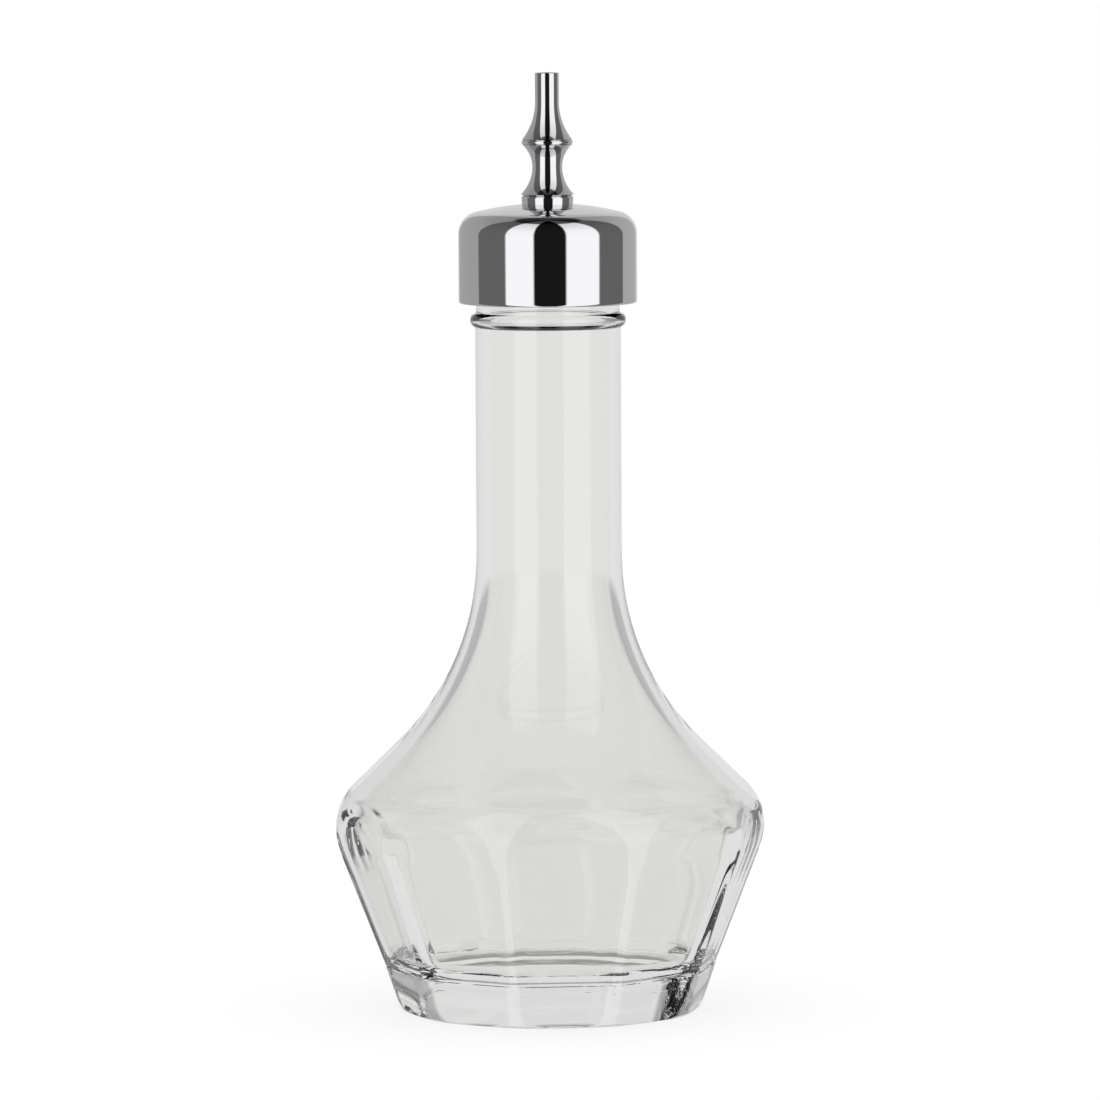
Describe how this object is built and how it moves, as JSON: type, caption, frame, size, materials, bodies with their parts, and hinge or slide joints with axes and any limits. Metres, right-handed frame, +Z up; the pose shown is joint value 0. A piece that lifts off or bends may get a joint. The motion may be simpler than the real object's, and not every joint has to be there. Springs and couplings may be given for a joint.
{
  "type": "glass dasher bottle",
  "caption": "Small clear glass dasher bottle with flat panels, a long neck and a screw-on chrome top whose narrow spout gives out drops of oil or bitters.",
  "frame": {"origin": "centre of the base plane that the bottle stands on", "axes": "+Z up along the bottle's axis to the spout tip; the middle of a flat panel faces -Y"},
  "size_m": [0.0648, 0.0624, 0.141],
  "materials": {
    "clear_glass": "clear pressed glass, fire polished",
    "chrome_shell": "bright chrome plate on drawn steel",
    "chrome_spout": "bright chrome plate on turned metal",
    "black_polypropylene": "moulded black polypropylene",
    "silicone_seal": "dark grey food-grade silicone",
    "nut_brass": "machined brass",
    "washer_steel": "stamped stainless steel",
    "plug_plastic": "moulded white polyethylene"
  },
  "bodies": {
    "bottle": {"glass_bottle": "clear_glass"},
    "seal": {"seal_washer": "silicone_seal"},
    "top": {"cap_shell": "chrome_shell", "thread_insert": "black_polypropylene", "spout": "chrome_spout", "spout_nut": "nut_brass", "nut_washer": "washer_steel", "orifice_plug": "plug_plastic"}
  },
  "joints": [
    {"name": "top_lift", "type": "slide", "parent": "bottle", "child": "seal", "axis": [0, 0, 1], "range_m": [0, 0.01905]},
    {"name": "top_turn", "type": "hinge", "parent": "seal", "child": "top", "pos_m": [0, 0, 0.112], "axis": [0, 0, 1], "range_deg": [0, 2160]}
  ],
  "couplings": [
    {"joint": "top_lift", "follows": "top_turn", "m_per_rad": 0.00050531}
  ]
}
